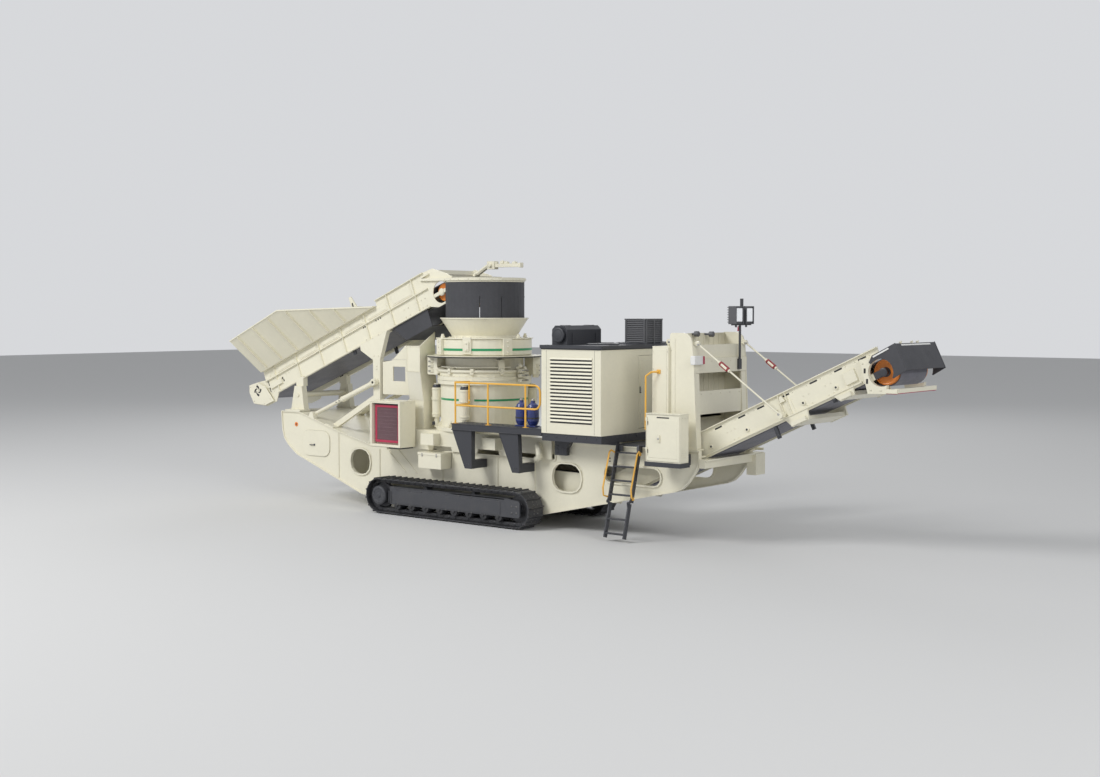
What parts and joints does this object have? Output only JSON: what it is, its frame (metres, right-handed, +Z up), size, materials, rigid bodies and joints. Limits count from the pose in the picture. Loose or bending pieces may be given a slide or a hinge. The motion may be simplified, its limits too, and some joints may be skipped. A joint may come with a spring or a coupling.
{
  "type": "tracked mobile cone crusher",
  "caption": "Crawler-mounted mobile cone crushing plant with inclined feed conveyor and hopper, power pack, ladder and long discharge conveyor.",
  "frame": {"origin": "on the ground, in the middle of the plant's length and width", "axes": "+X towards the discharge conveyor's head, +Z up, -Y the side with the ladder"},
  "size_m": [18.1558, 3.28, 5.795],
  "materials": {
    "cream_paint": "semi-gloss",
    "black_paint": "semi-gloss",
    "track_steel": "worn",
    "yellow_paint": "semi-gloss",
    "orange_paint": "semi-gloss",
    "belt_rubber": "matt",
    "black_rubber": "matt",
    "red_paint": "semi-gloss",
    "blue_paint": "gloss",
    "manganese_steel": "cast",
    "lamp_body": "satin"
  },
  "bodies": {
    "plant": {"track_chain_near": "track_steel", "track_frame_near": "black_paint", "track_chain_far": "track_steel", "track_frame_far": "black_paint", "chassis_side_near": "cream_paint", "chassis_side_far": "cream_paint", "chassis_nose": "cream_paint", "undercarriage_frame": "cream_paint", "chassis_tail_beam": "cream_paint", "crusher_subframe": "cream_paint", "crusher_main_frame": "cream_paint", "crusher_upper_frame": "cream_paint", "crusher_bowl": "cream_paint", "crusher_mantle": "manganese_steel", "crusher_funnel": "cream_paint", "skirt_ring": "cream_paint", "rubber_skirt": "black_rubber", "level_arm": "cream_paint", "feed_frame": "cream_paint", "feed_belt": "belt_rubber", "feed_hopper": "cream_paint", "feed_trestle": "cream_paint", "feed_support": "cream_paint", "lift_cylinder_near": "cream_paint", "lift_cylinder_far": "cream_paint", "scrapings_chute": "cream_paint", "head_guard": "black_rubber", "discharge_belt": "belt_rubber", "discharge_frame": "cream_paint", "discharge_hood": "black_rubber", "tie_rod_near": "cream_paint", "tie_rod_far": "cream_paint", "power_pack_base": "black_paint", "power_pack_housing": "cream_paint", "power_pack_roof": "black_paint", "muffler": "black_paint", "vent_box": "black_paint", "portal_frame": "cream_paint", "work_lights": "lamp_body", "side_tank": "cream_paint", "tank_grab_rail": "yellow_paint", "service_landing": "black_paint", "cabinet_plinth": "black_paint", "electrical_cabinet": "cream_paint", "oil_cooler_hood": "cream_paint", "oil_cooler_core": "red_paint", "battery_box": "cream_paint", "platform_deck": "black_paint", "platform_handrail": "yellow_paint", "accumulators": "blue_paint", "ladder_upper": "black_paint", "ladder_rail_left": "yellow_paint", "ladder_rail_right": "yellow_paint"},
    "power_pack_door": {"power_pack_door": "cream_paint"},
    "electrical_cabinet_door": {"electrical_cabinet_door": "cream_paint"},
    "ladder_lower": {"ladder_lower": "black_paint"},
    "discharge_head_drum": {"discharge_head_drum": "orange_paint"},
    "feed_head_drum": {"feed_head_drum": "orange_paint"}
  },
  "joints": [
    {"name": "power_pack_door_hinge", "type": "hinge", "parent": "plant", "child": "power_pack_door", "pos_m": [2.81995, 0.568, 2.9703], "axis": [0, 0, 1], "range_deg": [0, 100]},
    {"name": "electrical_cabinet_door_hinge", "type": "hinge", "parent": "plant", "child": "electrical_cabinet_door", "pos_m": [3.94995, -1.61, 2.165], "axis": [0, 0, -1], "range_deg": [0, 110]},
    {"name": "ladder_fold", "type": "hinge", "parent": "plant", "child": "ladder_lower", "pos_m": [3.14795, -1.4605, 0.79659], "axis": [-1, 0, 0], "range_deg": [0, 175]},
    {"name": "discharge_drum_spin", "type": "hinge", "parent": "plant", "child": "discharge_head_drum", "pos_m": [8.57795, 0, 3.55], "axis": [0, 1, 0], "continuous": true},
    {"name": "feed_drum_spin", "type": "hinge", "parent": "plant", "child": "feed_head_drum", "pos_m": [-2.38079, 0, 5.09821], "axis": [0, 1, 0], "continuous": true}
  ]
}
